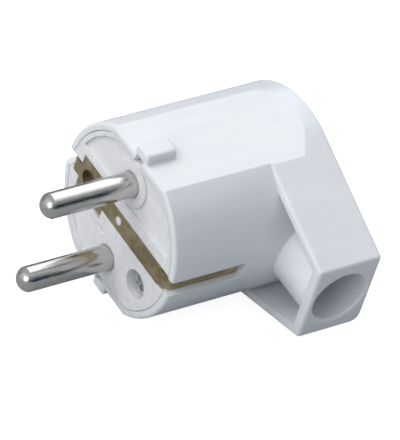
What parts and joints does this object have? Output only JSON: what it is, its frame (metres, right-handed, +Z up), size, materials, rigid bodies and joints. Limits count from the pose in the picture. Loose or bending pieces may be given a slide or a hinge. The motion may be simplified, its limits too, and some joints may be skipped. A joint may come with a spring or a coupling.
{
  "type": "grounded mains plug",
  "caption": "Right-angle two-pin mains plug with side earth contacts, key lugs and a tapered sideways cable outlet, rewireable.",
  "frame": {"origin": "centre of the engagement face, halfway between the two pins", "axes": "-Y along the pins, away from the plug; +X to the cable outlet's side, with the outlet rolled about 15 degrees down so that the plug lies on its lower key lug, a corner of its lower flat and the round at its back; +Z up"},
  "size_m": [0.0488, 0.0555, 0.0362],
  "materials": {
    "housing_plastic": "glossy white moulding",
    "base_plastic": "white moulding with matt recessed panels",
    "plated_pin": "polished nickel plate over brass",
    "strip_brass": "dull rolled brass sheet",
    "insert_brass": "turned and stamped brass",
    "zinc_steel": "bright zinc-plated steel",
    "clamp_plastic": "grey moulded strap"
  },
  "bodies": {
    "root": {"housing": "housing_plastic", "contact_base": "base_plastic", "line_pin": "plated_pin", "neutral_pin": "plated_pin", "earth_strip": "strip_brass", "assembly_screw": "zinc_steel", "assembly_washer": "zinc_steel", "housing_insert": "insert_brass", "cord_clamp": "clamp_plastic", "cord_clamp_screw_left": "zinc_steel", "cord_clamp_screw_right": "zinc_steel", "line_terminal_screw": "zinc_steel", "line_clamp_washer": "insert_brass", "line_spring_washer": "zinc_steel", "neutral_terminal_screw": "zinc_steel", "neutral_clamp_washer": "insert_brass", "neutral_spring_washer": "zinc_steel", "earth_terminal_screw": "zinc_steel", "earth_clamp_washer": "insert_brass", "earth_spring_washer": "zinc_steel"}
  },
  "joints": []
}
